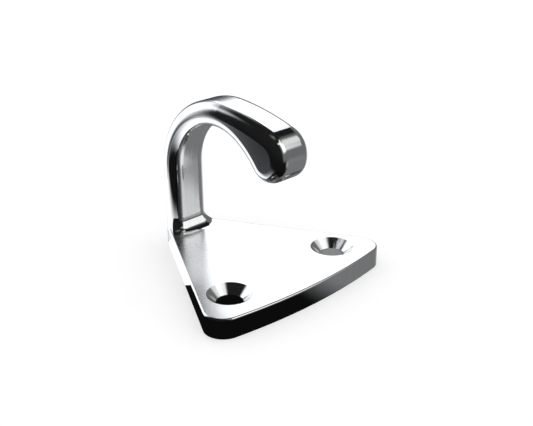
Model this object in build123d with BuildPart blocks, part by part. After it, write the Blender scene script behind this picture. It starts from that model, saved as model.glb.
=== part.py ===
from build123d import *

import os
from math import asin, atan2, cos, hypot, radians, sin, tan

# Lashing hook: one cast and polished stainless piece, fixed by two countersunk screws.
# Units are millimetres. The origin is midway between the two screw holes, on the underside.
# X runs from hole to hole, +Y toward the stem, +Z away from the surface that the hook is fixed to.

# Screw holes
hole_spacing = 30.0
screw_hole_diameter = 5.6
countersink_diameter = 9.3
countersink_angle = 90.0

# Plate: a blunt triangle with straight sides and a slightly bowed front
plate_thickness = 4.4
front_bow_radius = 121.0
front_corner_radius = 4.2
plate_edge_round = 0.4

# Stem: a bar that rises at the back corner of the plate, with its sides rounded almost fully
hook_width = 9.3
stem_thickness = 5.2
stem_side_flat = 0.2
stem_back_distance = 34.65
stem_height = 14.75
foot_fillet = 3.0

# Arch: it turns the bar forward over the plate, round the throat that holds the rope
throat_radius = 13.0
throat_turn = 122.2
crown_thickness = 5.35
arch_turn = 94.4

# Tip: a long brow runs on to a bulb made of a nose and a heel, and a neck leads back to the throat
brow_radius = 67.0
brow_turn = 12.6
nose_radius = 5.65
nose_turn = 107.6
heel_radius = 4.6

# Margins of metal round the countersinks and the stem
countersink_side_margin = 1.95
countersink_front_margin = 4.8
stem_side_margin = 0.06

# The foot fillet stops short of the sides of the plate, where it ends in two drafted sides
foot_side_inset = 0.5
foot_side_draft = 12.0

os.makedirs("parts", exist_ok=True)

# The bar's long edges have one radius, which leaves a narrow flat on the sides of the stem
hook_edge_round = (stem_thickness - stem_side_flat) / 2
stem_front_distance = stem_back_distance - stem_thickness
stem_centre_distance = stem_back_distance - stem_thickness / 2

# Each side of the plate is the straight line that passes a countersink and a back corner of the stem
stem_corner_x = hook_width / 2 - hook_edge_round
stem_corner_y = stem_back_distance - hook_edge_round
stem_reach = hook_edge_round + stem_side_margin
hole_reach = countersink_diameter / 2 + countersink_side_margin
side_run_x = hole_spacing / 2 - stem_corner_x
side_run = hypot(side_run_x, stem_corner_y)
side_slope = atan2(side_run_x, stem_corner_y) + asin((hole_reach - stem_reach) / side_run)

# The sides would meet behind the stem at an apex, and run forward past the bow of the front
apex_y = stem_corner_y + (stem_reach + stem_corner_x * cos(side_slope)) / sin(side_slope)
front_edge_distance = countersink_diameter / 2 + countersink_front_margin
sides_end_y = -front_edge_distance - front_corner_radius
sides_end_x = (apex_y - sides_end_y) * tan(side_slope)

# The back corner starts to turn where the sides pass the stem
back_corner_radius = stem_reach + stem_corner_x / cos(side_slope)

with BuildSketch(Plane.XY) as plate_outline:
    with BuildLine():
        Polyline((sides_end_x, sides_end_y), (0, apex_y), (-sides_end_x, sides_end_y), close=True)
    make_face()
    with Locations((0, front_bow_radius - front_edge_distance)):
        Circle(front_bow_radius, mode=Mode.INTERSECT)
    fillet(vertices().group_by(Axis.Y)[0], front_corner_radius)
    fillet(vertices().sort_by(Axis.Y)[-1], back_corner_radius)

# Side view of the bar: up the back, over the arch and brow, round the bulb and back down the throat
arch_centre_height = plate_thickness + stem_height
arch_outer_radius = throat_radius + crown_thickness

with BuildSketch(Plane.YZ) as arm_profile:
    with BuildLine():
        back_line = Line((stem_back_distance, 0), (stem_back_distance, arch_centre_height))
        arch_line = JernArc(back_line @ 1, back_line % 1, arch_outer_radius, arch_turn)
        brow_line = JernArc(arch_line @ 1, arch_line % 1, brow_radius, brow_turn)
        nose_line = JernArc(brow_line @ 1, brow_line % 1, nose_radius, nose_turn)

        # The heel goes on from the nose with a tighter radius about this centre
        heel_centre = nose_line @ 1 + (nose_line % 1).rotate(Axis.Z, 90) * heel_radius

        # The neck leaves the throat where the throat's turn ends, with the radius that just touches the heel
        throat_centre = Vector(stem_front_distance - throat_radius, arch_centre_height)
        throat_side = Vector(cos(radians(throat_turn)), sin(radians(throat_turn)))
        neck_end = throat_centre + throat_side * throat_radius
        heel_to_neck = neck_end - heel_centre
        neck_radius = (heel_to_neck.length**2 - heel_radius**2) / (
            2 * (heel_radius + heel_to_neck.dot(throat_side))
        )
        neck_centre = neck_end - throat_side * neck_radius
        heel_end = heel_centre + (neck_centre - heel_centre).normalized() * heel_radius

        heel_line = TangentArc(nose_line @ 1, heel_end, tangent=nose_line % 1)
        neck_line = TangentArc(heel_line @ 1, neck_end, tangent=heel_line % 1)
        throat_end = (stem_front_distance, arch_centre_height)
        throat_line = TangentArc(neck_line @ 1, throat_end, tangent=neck_line % 1)
        front_line = Line(throat_line @ 1, (stem_front_distance, 0))
        Line(front_line @ 1, back_line @ 0)
    make_face()

# The bar from the underside of the plate to the bulb, with all its long edges rounded
with BuildPart() as hook_arm:
    extrude(arm_profile.sketch, amount=hook_width / 2, both=True)
    side_edges = faces().filter_by(Axis.X).edges()
    bottom_edges = side_edges.group_by(Axis.Z)[0]
    fillet(side_edges - bottom_edges, hook_edge_round)

# The fillet round the front half of the stem's foot, cut back along the sides of the plate
# The block that carries it reaches past the stem and above the plate by more than the fillet
foot_reach = 2 * foot_fillet
foot_block_width = hook_width + 2 * foot_reach
foot_block_depth = stem_thickness + 2 * foot_reach

with BuildPart() as foot_flare:
    with BuildSketch(Plane.XY):
        with Locations((0, stem_centre_distance)):
            Rectangle(foot_block_width, foot_block_depth)
    extrude(amount=plate_thickness)
    with BuildSketch(Plane.XY.offset(plate_thickness)):
        with Locations((0, stem_centre_distance)):
            RectangleRounded(hook_width, stem_thickness, hook_edge_round)
    extrude(amount=foot_reach)
    fillet(edges(Select.LAST).group_by(Axis.Z)[0], foot_fillet)
    with BuildSketch(Plane.XY.offset(plate_thickness)):
        add(plate_outline.sketch)
        offset(amount=-foot_side_inset)
        with Locations((0, stem_centre_distance)):
            back_half = (Align.CENTER, Align.MIN)
            Rectangle(foot_block_width, foot_block_depth, align=back_half, mode=Mode.SUBTRACT)
    extrude(amount=foot_fillet, taper=foot_side_draft, mode=Mode.INTERSECT)

# The finished piece: the plate with its softened upper edge and screw holes, the foot and the bar
with BuildPart() as lashing_hook:
    extrude(plate_outline.sketch, amount=plate_thickness)
    fillet(faces().sort_by(Axis.Z)[-1].edges(), plate_edge_round)
    with Locations(Plane.XY.offset(plate_thickness)):
        with GridLocations(hole_spacing, 0, 2, 1):
            CounterSinkHole(
                radius=screw_hole_diameter / 2,
                counter_sink_radius=countersink_diameter / 2,
                counter_sink_angle=countersink_angle,
            )
    add(foot_flare.part)
    add(hook_arm.part)

lashing_hook.part.label = "lashing_hook"
export_step(lashing_hook.part, "parts/lashing_hook.step")
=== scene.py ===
from math import cos, radians, sin
from typing import NamedTuple

import bpy
from bpy.props import FloatProperty, FloatVectorProperty, PointerProperty
from bpy.types import Operator, Panel, PropertyGroup
from mathutils import Matrix, Vector

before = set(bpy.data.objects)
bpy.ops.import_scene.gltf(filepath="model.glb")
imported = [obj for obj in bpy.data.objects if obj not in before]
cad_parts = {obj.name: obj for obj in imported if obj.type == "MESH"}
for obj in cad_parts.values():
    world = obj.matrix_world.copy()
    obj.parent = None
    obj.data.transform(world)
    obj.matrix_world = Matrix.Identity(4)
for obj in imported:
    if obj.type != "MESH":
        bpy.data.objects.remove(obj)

bl_info = {
    "name": "Lashing Hook",
    "version": (1, 0, 0),
    "blender": (4, 5, 0),
    "location": "View3D > Sidebar > Lashing Hook",
    "description": "Gives a cast lashing hook its polished steel, a pale floor and a white background",
    "category": "Object",
}

# The photograph's frame, in pixels, and the focal length that its camera has in those pixels
IMAGE_WIDTH = 533
FOCAL_PIXELS = 872.163

WHITE = (1.0, 1.0, 1.0, 1.0)
MM_PER_METRE = 1000

# Each pair says where a finish of the steel has gone and where it is full. Heights above the hook's
# underside and depths toward its stem are in metres, and the others are parts of the surface normal.
PLATE_HEIGHT = (0.0052, 0.0046)
PLATE_LEVEL = (0.985, 0.999)
BAND_SIDEWAYS = (0.06, 0.01)
BAND_HEIGHT = (0.0068, 0.0075)
BAND_DEPTH = (0.006, 0.012)
WALL_HEIGHT = (0.0044, 0.0042)
FACET_SIDEWAYS = (0.3, 0.2)
FACET_FORWARD = (-0.6, -0.7)

# How softly the facet on the foot runs out, in metres
FACET_EDGE = 0.00005

# The scale of the slow waves in the polish, and how far the polish swings in blur and in tone
WAVE_SCALE = 140.0
BLUR_SWING = 0.3
TONE_SWING = 0.07

# The studio's floor reaches far past what any view shows
FLOOR_SIZE = 4.0


class StudioLight(NamedTuple):
    """A panel of the studio, seen from the hook: directions and sizes in degrees.

    The azimuth runs from behind the hook (+Y) round to its right (+X). A round panel has one reach.
    """

    name: str
    shape: str
    centre: tuple
    reach: tuple
    soft: tuple
    colour: tuple


# The panels that the polished steel reflects, each laid over the ones before it. Most began as the result
# of a least-squares fit to the reflections in the photograph, which was rounded and in part changed.
# The ceiling panel, the front floor and the doorway were set one by one.
STUDIO_DARK = (0.007, 0.007, 0.007)
STUDIO_LIGHTS = (
    StudioLight("ceiling panel", "round", (0, 90), (9,), (9,), (0.180, 0.182, 0.185)),
    StudioLight("left floor", "round", (-14, -68), (30,), (25,), (1.52, 1.60, 1.70)),
    StudioLight("right floor", "square", (91, -40), (52, 43), (9, 9), (0.205, 0.207, 0.212)),
    StudioLight("low right wall", "square", (66, -7), (22, 20), (12, 5), (0.60, 0.61, 0.62)),
    StudioLight("right wall", "square", (109, 21), (78, 31), (8, 7), (0.162, 0.165, 0.167)),
    StudioLight("back wall", "square", (-5, -6), (31, 51), (7, 12), (1.35, 1.37, 1.40)),
    StudioLight("back panel", "square", (44, 31), (16, 12), (1, 7), (1.80, 1.83, 1.88)),
    StudioLight("dim gap", "square", (24, 7), (9, 20), (8, 13), (0.166, 0.182, 0.200)),
    StudioLight("key panel fringe", "square", (122, 39), (13, 10), (5, 7), (0.85, 0.84, 0.81)),
    StudioLight("key panel", "square", (152, 39), (20, 18), (6, 5), (1.35, 1.35, 1.32)),
    StudioLight("overhead strip", "square", (158, 58), (36, 3), (12, 3), (1.30, 1.29, 1.27)),
    StudioLight("front floor", "square", (148, -22), (10, 11), (5, 8), (0.340, 0.345, 0.350)),
    StudioLight("doorway", "square", (34, -12), (13, 18), (4, 5), (0.008, 0.008, 0.008)),
    StudioLight("dark header", "square", (71, 48), (25, 8), (9, 2), (0.006, 0.006, 0.006)),
)


class PaintedFloorCard(NamedTuple):
    """A card that lies on the floor beside the hook, in millimetres.

    Its glow is painted light, or painted shade where it is low, that only the steel's reflections show. It
    fades out along a line that is turned from X by fade_turn degrees.
    """

    name: str
    corners: tuple
    fade_turn: float
    solid_at: float
    clear_at: float
    glow: float


# The black card is a painted shadow: the floor's shade beside the plate, which the near walls of the plate
# reflect dark. The white one is painted light: lit floor that glows in the reflection on the stem's foot
# from behind. The small one is a painted reflection of grey floor in the wall of the right screw hole.
# The small one would fade only past its own edge, so all of it is solid.
PAINTED_FLOOR_CARDS = (
    PaintedFloorCard(
        "painted_shadow_card",
        ((-11, 14), (-19, 17), (-27, 13), (-36, 4), (-36, -17), (-16, -26), (13, -21), (13, -8)),
        fade_turn=0,
        solid_at=-1,
        clear_at=12,
        glow=0.004,
    ),
    PaintedFloorCard(
        "painted_light_card",
        ((-4, 15), (-11, 15), (-19, 18), (-28, 14), (-60, 34), (-60, 66), (-4, 66)),
        fade_turn=31,
        solid_at=9,
        clear_at=-15,
        glow=1.3,
    ),
    PaintedFloorCard(
        "painted_hole_floor_card",
        ((11, -4), (19, -4), (19, 4), (11, 4)),
        fade_turn=0,
        solid_at=20,
        clear_at=30,
        glow=0.3,
    ),
)

# How far the cards lie under the floor's surface, in metres
CARD_DEPTH = 0.00005


class LASHINGHOOK_PG_steel(PropertyGroup):
    """The finish of the polished steel"""

    colour: FloatVectorProperty(
        name="Steel Colour",
        description="Colour that the polished steel gives its reflections",
        subtype="COLOR",
        default=(0.80, 0.81, 0.82),
        min=0.0,
        max=1.0,
    )
    bar_roughness: FloatProperty(
        name="Bar Roughness",
        description="Blur of the reflections on the rounded bar and on the edges, which are buffed bright",
        subtype="FACTOR",
        default=0.1,
        min=0.0,
        max=1.0,
    )
    band_roughness: FloatProperty(
        name="Band Roughness",
        description="Blur of the reflections on the ground flat bands along the front and back of the bar",
        subtype="FACTOR",
        default=0.2,
        min=0.0,
        max=1.0,
    )
    cut_roughness: FloatProperty(
        name="Wall Roughness",
        description="Blur of the reflections on the plate's machined walls and in its countersinks",
        subtype="FACTOR",
        default=0.12,
        min=0.0,
        max=1.0,
    )
    plate_roughness: FloatProperty(
        name="Plate Roughness",
        description="Blur of the reflections on the top of the plate, which is ground before it is buffed",
        subtype="FACTOR",
        default=0.26,
        min=0.0,
        max=1.0,
    )
    facet_low: FloatProperty(
        name="Foot Facet Bottom",
        description="Height of the lower edge of the facet that is dressed on the front of the foot fillet",
        subtype="DISTANCE",
        unit="LENGTH",
        default=0.00515,
        min=0.0044,
        max=0.0074,
    )
    facet_high: FloatProperty(
        name="Foot Facet Top",
        description="Height of the upper edge of the facet that is dressed on the front of the foot fillet",
        subtype="DISTANCE",
        unit="LENGTH",
        default=0.0064,
        min=0.0044,
        max=0.0074,
    )
    facet_tilt: FloatProperty(
        name="Foot Facet Tilt",
        description="How far the facet on the foot fillet leans back from upright",
        subtype="ANGLE",
        unit="ROTATION",
        default=radians(40),
    )
    mark_width: FloatProperty(
        name="Polishing Mark Width",
        description="Width of the fine marks that the polishing wheel leaves along the bar and the plate",
        subtype="DISTANCE",
        unit="LENGTH",
        default=0.0005,
        min=0.00002,
        max=0.002,
        precision=5,
    )
    mark_length: FloatProperty(
        name="Polishing Mark Length",
        description="Length of the fine marks that the polishing wheel leaves",
        subtype="DISTANCE",
        unit="LENGTH",
        default=0.04,
        min=0.001,
        max=0.2,
    )
    mark_depth: FloatProperty(
        name="Polishing Mark Depth",
        description="How deep the polishing marks are",
        subtype="DISTANCE",
        unit="LENGTH",
        default=0.0000002,
        min=0.0,
        max=0.00001,
        precision=7,
    )


class LASHINGHOOK_PG_studio(PropertyGroup):
    """The floor, the studio's light and the camera"""

    floor_colour: FloatVectorProperty(
        name="Floor Colour",
        description="Colour of the pale floor",
        subtype="COLOR",
        default=(0.8, 0.8, 0.8),
        min=0.0,
        max=1.0,
    )
    floor_glow: FloatProperty(
        name="Floor Glow",
        description="Light that the floor adds by itself, which brings it up to the white of the background",
        default=0.4,
        min=0.0,
        max=1.0,
    )
    soft_light: FloatProperty(
        name="Soft Light",
        description="Level of the even light from all sides that falls on matt surfaces",
        default=0.8,
        min=0.0,
        max=2.0,
    )
    panel_light: FloatProperty(
        name="Panel Light",
        description="Level of the panels that the steel reflects",
        default=1.0,
        min=0.0,
        max=2.0,
    )
    camera_turn: FloatProperty(
        name="Camera Turn",
        description="How far the camera is turned round the hook from its front",
        subtype="ANGLE",
        unit="ROTATION",
        default=radians(-43.685),
    )
    camera_rise: FloatProperty(
        name="Camera Rise",
        description="How steeply the camera looks down on the hook",
        subtype="ANGLE",
        unit="ROTATION",
        default=radians(24.078),
    )
    camera_roll: FloatProperty(
        name="Camera Roll",
        description="How far the camera leans to one side",
        subtype="ANGLE",
        unit="ROTATION",
        default=radians(-0.419),
    )
    camera_distance: FloatProperty(
        name="Camera Distance",
        description="Distance from the camera to the point it looks at",
        subtype="DISTANCE",
        unit="LENGTH",
        default=0.20751,
        min=0.05,
    )
    camera_target: FloatVectorProperty(
        name="Camera Target",
        description="Point that the camera looks at",
        subtype="TRANSLATION",
        unit="LENGTH",
        default=(0.016808, 0.022514, 0.004667),
    )


class NodeBench:
    """Adds nodes to a node tree, and links each one as it is added."""

    def __init__(self, tree):
        self.tree = tree

    def put(self, socket, value):
        if isinstance(value, bpy.types.NodeSocket):
            self.tree.links.new(value, socket)
        else:
            socket.default_value = value

    def add(self, kind, settings=None, inputs=None):
        node = self.tree.nodes.new(kind)
        for name, value in (settings or {}).items():
            setattr(node, name, value)
        for name, value in (inputs or {}).items():
            self.put(node.inputs[name], value)
        return node

    def math(self, operation, *values):
        node = self.add("ShaderNodeMath", {"operation": operation})
        for socket, value in zip(node.inputs, values):
            self.put(socket, value)
        return node.outputs[0]

    def product(self, first, *others):
        for other in others:
            first = self.math("MULTIPLY", first, other)
        return first

    def dot(self, first, second):
        node = self.add("ShaderNodeVectorMath", {"operation": "DOT_PRODUCT"})
        self.put(node.inputs[0], first)
        self.put(node.inputs[1], second)
        return node.outputs["Value"]

    def axes(self, vector):
        return self.add("ShaderNodeSeparateXYZ", inputs={"Vector": vector}).outputs

    def noise(self, place, scale, detail):
        node = self.add(
            "ShaderNodeTexNoise",
            inputs={"Vector": place, "Scale": scale, "Detail": detail, "Roughness": 0.5},
        )
        return node.outputs["Fac"]

    def fade(self, value, low, high, to_low=0.0, to_high=1.0):
        """Goes smoothly from to_low at low to to_high at high."""
        node = self.add(
            "ShaderNodeMapRange",
            {"interpolation_type": "SMOOTHSTEP"},
            {"Value": value, "From Min": low, "From Max": high, "To Min": to_low, "To Max": to_high},
        )
        return node.outputs["Result"]

    def mix(self, kind, factor, first, second):
        """Goes from first to second, which are of the kind RGBA for colours or VECTOR."""
        node = self.add("ShaderNodeMix", {"data_type": kind})
        self.put(node.inputs["Factor"], factor)
        ends = [socket for socket in node.inputs if socket.type == kind and socket.enabled]
        for socket, value in zip(ends, (first, second)):
            self.put(socket, value)
        return [socket for socket in node.outputs if socket.type == kind][0]

    def mix_shaders(self, factor, first, second):
        node = self.add("ShaderNodeMixShader")
        for socket, value in zip(node.inputs, (factor, first, second)):
            self.put(socket, value)
        return node.outputs["Shader"]

    def background(self, colour, strength):
        node = self.add("ShaderNodeBackground", inputs={"Color": colour, "Strength": strength})
        return node.outputs["Background"]


def opaque(colour):
    return (*colour, 1.0)


def polishing_marks(bench, settings, place):
    """The wheel runs along the bar, so its marks are narrow across X and long the other way."""
    across, along = 1 / settings.mark_width, 1 / settings.mark_length
    stretched = bench.add(
        "ShaderNodeMapping", {"vector_type": "POINT"}, {"Vector": place, "Scale": (across, along, along)}
    )
    return bench.noise(stretched.outputs["Vector"], scale=1.0, detail=1.0)


def finish_blur(bench, settings, at, facing, sideways):
    """The blur of each finish: the plate and the bar's flat bands are ground before they are buffed."""
    buffed = settings.bar_roughness
    plate = bench.product(facing["Z"], bench.fade(at["Z"], *PLATE_HEIGHT))
    band = bench.product(
        bench.fade(sideways, *BAND_SIDEWAYS),
        bench.fade(at["Z"], *BAND_HEIGHT),
        bench.fade(at["Y"], *BAND_DEPTH),
    )
    plate_blur = bench.fade(plate, *PLATE_LEVEL, buffed, settings.plate_roughness)
    band_blur = bench.fade(band, 0.0, 1.0, buffed, settings.band_roughness)
    wall_blur = bench.fade(at["Z"], *WALL_HEIGHT, buffed, settings.cut_roughness)
    return bench.math("MAXIMUM", bench.math("MAXIMUM", plate_blur, band_blur), wall_blur)


def blur_share(bench, noise):
    """Turns noise into a factor that swings the blur both ways from its own level."""
    return bench.math("MULTIPLY_ADD", noise, BLUR_SWING, 1 - BLUR_SWING / 2)


def dressed_normal(bench, settings, at, facing, sideways, normal):
    """Shades a flat facet on the front of the foot fillet, where the mesh itself stays round."""
    low, high = settings.facet_low, settings.facet_high
    facet = bench.product(
        bench.fade(at["Z"], low - FACET_EDGE, low),
        bench.fade(at["Z"], high + FACET_EDGE, high),
        bench.fade(sideways, *FACET_SIDEWAYS),
        bench.fade(facing["Y"], *FACET_FORWARD),
    )
    tilt = settings.facet_tilt
    turned = bench.mix("VECTOR", facet, normal, (0.0, -cos(tilt), sin(tilt)))
    unit = bench.add("ShaderNodeVectorMath", {"operation": "NORMALIZE"})
    bench.put(unit.inputs[0], turned)
    return unit.outputs["Vector"]


def polished_steel(settings):
    """Cast stainless steel, ground along its length and then buffed."""
    material = bpy.data.materials.new("polished_steel")
    material.use_nodes = True
    bench = NodeBench(material.node_tree)
    place = bench.add("ShaderNodeTexCoord").outputs["Object"]
    normal = bench.add("ShaderNodeNewGeometry").outputs["Normal"]
    at = bench.axes(place)
    facing = bench.axes(normal)
    sideways = bench.math("ABSOLUTE", facing["X"])

    marks = polishing_marks(bench, settings, place)
    # Slow waves are left where the wheel has pressed longer
    waves = bench.noise(place, WAVE_SCALE, detail=2.0)

    blur = finish_blur(bench, settings, at, facing, sideways)
    blur = bench.product(blur, blur_share(bench, marks), blur_share(bench, waves))

    bright = tuple(min(1.0, channel * (1 + TONE_SWING)) for channel in settings.colour)
    dull = tuple(channel * (1 - TONE_SWING) for channel in settings.colour)
    bump = bench.add(
        "ShaderNodeBump",
        inputs={
            "Height": marks,
            "Distance": settings.mark_depth,
            "Strength": 1.0,
            "Normal": dressed_normal(bench, settings, at, facing, sideways, normal),
        },
    )

    shader = material.node_tree.nodes["Principled BSDF"]
    bench.put(shader.inputs["Metallic"], 1.0)
    bench.put(shader.inputs["Roughness"], blur)
    bench.put(shader.inputs["Base Color"], bench.mix("RGBA", marks, opaque(dull), opaque(bright)))
    bench.put(shader.inputs["Normal"], bump.outputs["Normal"])
    return material


def panel_mask(bench, light, direction, azimuth, elevation):
    """1 inside a panel of the studio and 0 outside, with its soft edge between."""
    inner = [radians(reach - soft) for reach, soft in zip(light.reach, light.soft)]
    outer = [radians(reach + soft) for reach, soft in zip(light.reach, light.soft)]
    turn, rise = radians(light.centre[0]), radians(light.centre[1])
    if light.shape == "round":
        toward = (sin(turn) * cos(rise), cos(turn) * cos(rise), sin(rise))
        apart = bench.math("ARCCOSINE", bench.dot(direction, toward))
        return bench.fade(apart, outer[0], inner[0])
    beside = bench.math("WRAP", bench.math("SUBTRACT", azimuth, turn), radians(180), radians(-180))
    above = bench.math("SUBTRACT", elevation, rise)
    wide = bench.fade(bench.math("ABSOLUTE", beside), outer[0], inner[0])
    high = bench.fade(bench.math("ABSOLUTE", above), outer[1], inner[1])
    return bench.product(wide, high)


def studio_world(settings):
    """White to the camera and through clear things, even to matt surfaces, a room to polished ones."""
    world = bpy.data.worlds.new("studio")
    world.use_nodes = True
    world.node_tree.nodes.clear()
    bench = NodeBench(world.node_tree)
    direction = bench.add("ShaderNodeTexCoord").outputs["Generated"]
    toward = bench.axes(direction)
    azimuth = bench.math("ARCTAN2", toward["X"], toward["Y"])
    elevation = bench.math("ARCSINE", toward["Z"])

    room = opaque(STUDIO_DARK)
    for light in STUDIO_LIGHTS:
        mask = panel_mask(bench, light, direction, azimuth, elevation)
        room = bench.mix("RGBA", mask, room, opaque(light.colour))
    panels = bench.background(room, settings.panel_light)
    even = bench.background(WHITE, settings.soft_light)
    backdrop = bench.background(WHITE, 1.0)

    path = bench.add("ShaderNodeLightPath").outputs
    lit = bench.mix_shaders(path["Is Glossy Ray"], even, panels)
    seen = bench.math("MAXIMUM", path["Is Camera Ray"], path["Is Transmission Ray"])
    shown = bench.mix_shaders(seen, lit, backdrop)
    bench.add("ShaderNodeOutputWorld", inputs={"Surface": shown})
    return world


def white_floor(settings):
    """A matt floor with a glow of its own."""
    material = bpy.data.materials.new("floor_white")
    material.use_nodes = True
    shader = material.node_tree.nodes["Principled BSDF"]
    shader.inputs["Base Color"].default_value = opaque(settings.floor_colour)
    shader.inputs["Roughness"].default_value = 1.0
    shader.inputs["Emission Color"].default_value = WHITE
    shader.inputs["Emission Strength"].default_value = settings.floor_glow
    return material


def card_material(card):
    """The card's glow, which is painted light or painted shade in the steel's reflections, feathered away to
    nothing at one end.
    """
    material = bpy.data.materials.new(card.name)
    material.use_nodes = True
    material.node_tree.nodes.clear()
    bench = NodeBench(material.node_tree)
    place = bench.add("ShaderNodeTexCoord").outputs["Object"]
    turn = radians(card.fade_turn)
    along = bench.dot(place, (cos(turn), sin(turn), 0.0))
    gone = bench.fade(along, card.solid_at / MM_PER_METRE, card.clear_at / MM_PER_METRE)
    glow = bench.add("ShaderNodeEmission", inputs={"Color": WHITE, "Strength": card.glow})
    clear = bench.add("ShaderNodeBsdfTransparent")
    feathered = bench.mix_shaders(gone, glow.outputs["Emission"], clear.outputs["BSDF"])
    bench.add("ShaderNodeOutputMaterial", inputs={"Surface": feathered})
    return material


def lay_card(scene, card):
    """A card is seen only in the steel's reflections."""
    mesh = bpy.data.meshes.new(card.name)
    corners = [(x / MM_PER_METRE, y / MM_PER_METRE, -CARD_DEPTH) for x, y in card.corners]
    mesh.from_pydata(corners, [], [range(len(corners))])
    mesh.materials.append(card_material(card))
    piece = bpy.data.objects.new(card.name, mesh)
    scene.collection.objects.link(piece)
    piece.visible_camera = piece.visible_diffuse = piece.visible_shadow = False


def place_camera(scene, settings):
    """A camera on a sphere round its target, looking at it."""
    turn, rise, roll = settings.camera_turn, settings.camera_rise, settings.camera_roll
    back = Vector((sin(turn) * cos(rise), -cos(turn) * cos(rise), sin(rise)))
    level = Vector((0, 0, 1)).cross(back).normalized()
    upward = back.cross(level)
    right = cos(roll) * level + sin(roll) * upward
    up = cos(roll) * upward - sin(roll) * level

    lens = bpy.data.cameras.new("camera")
    lens.sensor_width = 36.0
    lens.lens = FOCAL_PIXELS * lens.sensor_width / IMAGE_WIDTH
    lens.clip_start, lens.clip_end = 0.01, 20.0
    camera = bpy.data.objects.new("camera", lens)
    scene.collection.objects.link(camera)
    camera.matrix_world = Matrix.Translation(
        Vector(settings.camera_target) + back * settings.camera_distance
    ) @ Matrix((right, up, back)).transposed().to_4x4()
    scene.camera = camera


class LASHINGHOOK_OT_polish(Operator):
    """Give the cast hook its polished steel"""

    bl_idname = "lashing_hook.polish"
    bl_label = "Polish the Hook"

    def execute(self, context):
        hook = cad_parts["lashing_hook"]
        steel = polished_steel(context.scene.lashing_hook_steel)
        hook.data.materials.clear()
        hook.data.materials.append(steel)
        return {"FINISHED"}


class LASHINGHOOK_OT_studio(Operator):
    """Lay the pale floor, light the studio and place the camera"""

    bl_idname = "lashing_hook.studio"
    bl_label = "Build the Studio"

    def execute(self, context):
        scene = context.scene
        settings = scene.lashing_hook_studio
        scene.view_settings.view_transform = "Standard"
        scene.world = studio_world(settings)

        bpy.ops.mesh.primitive_plane_add(size=FLOOR_SIZE)
        floor = context.object
        if floor is None:
            raise RuntimeError("the floor was not made")
        floor.name = "floor"
        floor.data.materials.append(white_floor(settings))
        floor.visible_glossy = False

        # The cards paint shadow and light on the floor that only the steel's reflections show
        for card in PAINTED_FLOOR_CARDS:
            lay_card(scene, card)
        place_camera(scene, settings)
        return {"FINISHED"}


class LASHINGHOOK_PT_sidebar(Panel):
    """Lists the steps that finish the hook and build its studio"""

    bl_idname = "LASHINGHOOK_PT_sidebar"
    bl_label = "Lashing Hook"
    bl_space_type = "VIEW_3D"
    bl_region_type = "UI"
    bl_category = "Lashing Hook"

    def draw(self, context):
        for operator, settings in (
            (LASHINGHOOK_OT_polish, context.scene.lashing_hook_steel),
            (LASHINGHOOK_OT_studio, context.scene.lashing_hook_studio),
        ):
            box = self.layout.box()
            for name in settings.__annotations__:
                box.prop(settings, name)
            box.operator(operator.bl_idname)


CLASSES = (
    LASHINGHOOK_PG_steel,
    LASHINGHOOK_PG_studio,
    LASHINGHOOK_OT_polish,
    LASHINGHOOK_OT_studio,
    LASHINGHOOK_PT_sidebar,
)


def register():
    for cls in CLASSES:
        bpy.utils.register_class(cls)
    bpy.types.Scene.lashing_hook_steel = PointerProperty(type=LASHINGHOOK_PG_steel)
    bpy.types.Scene.lashing_hook_studio = PointerProperty(type=LASHINGHOOK_PG_studio)


def unregister():
    del bpy.types.Scene.lashing_hook_studio
    del bpy.types.Scene.lashing_hook_steel
    for cls in reversed(CLASSES):
        bpy.utils.unregister_class(cls)


def main():
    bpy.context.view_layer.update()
    register()
    bpy.ops.lashing_hook.polish()
    bpy.ops.lashing_hook.studio()


if __name__ == "__main__":
    main()
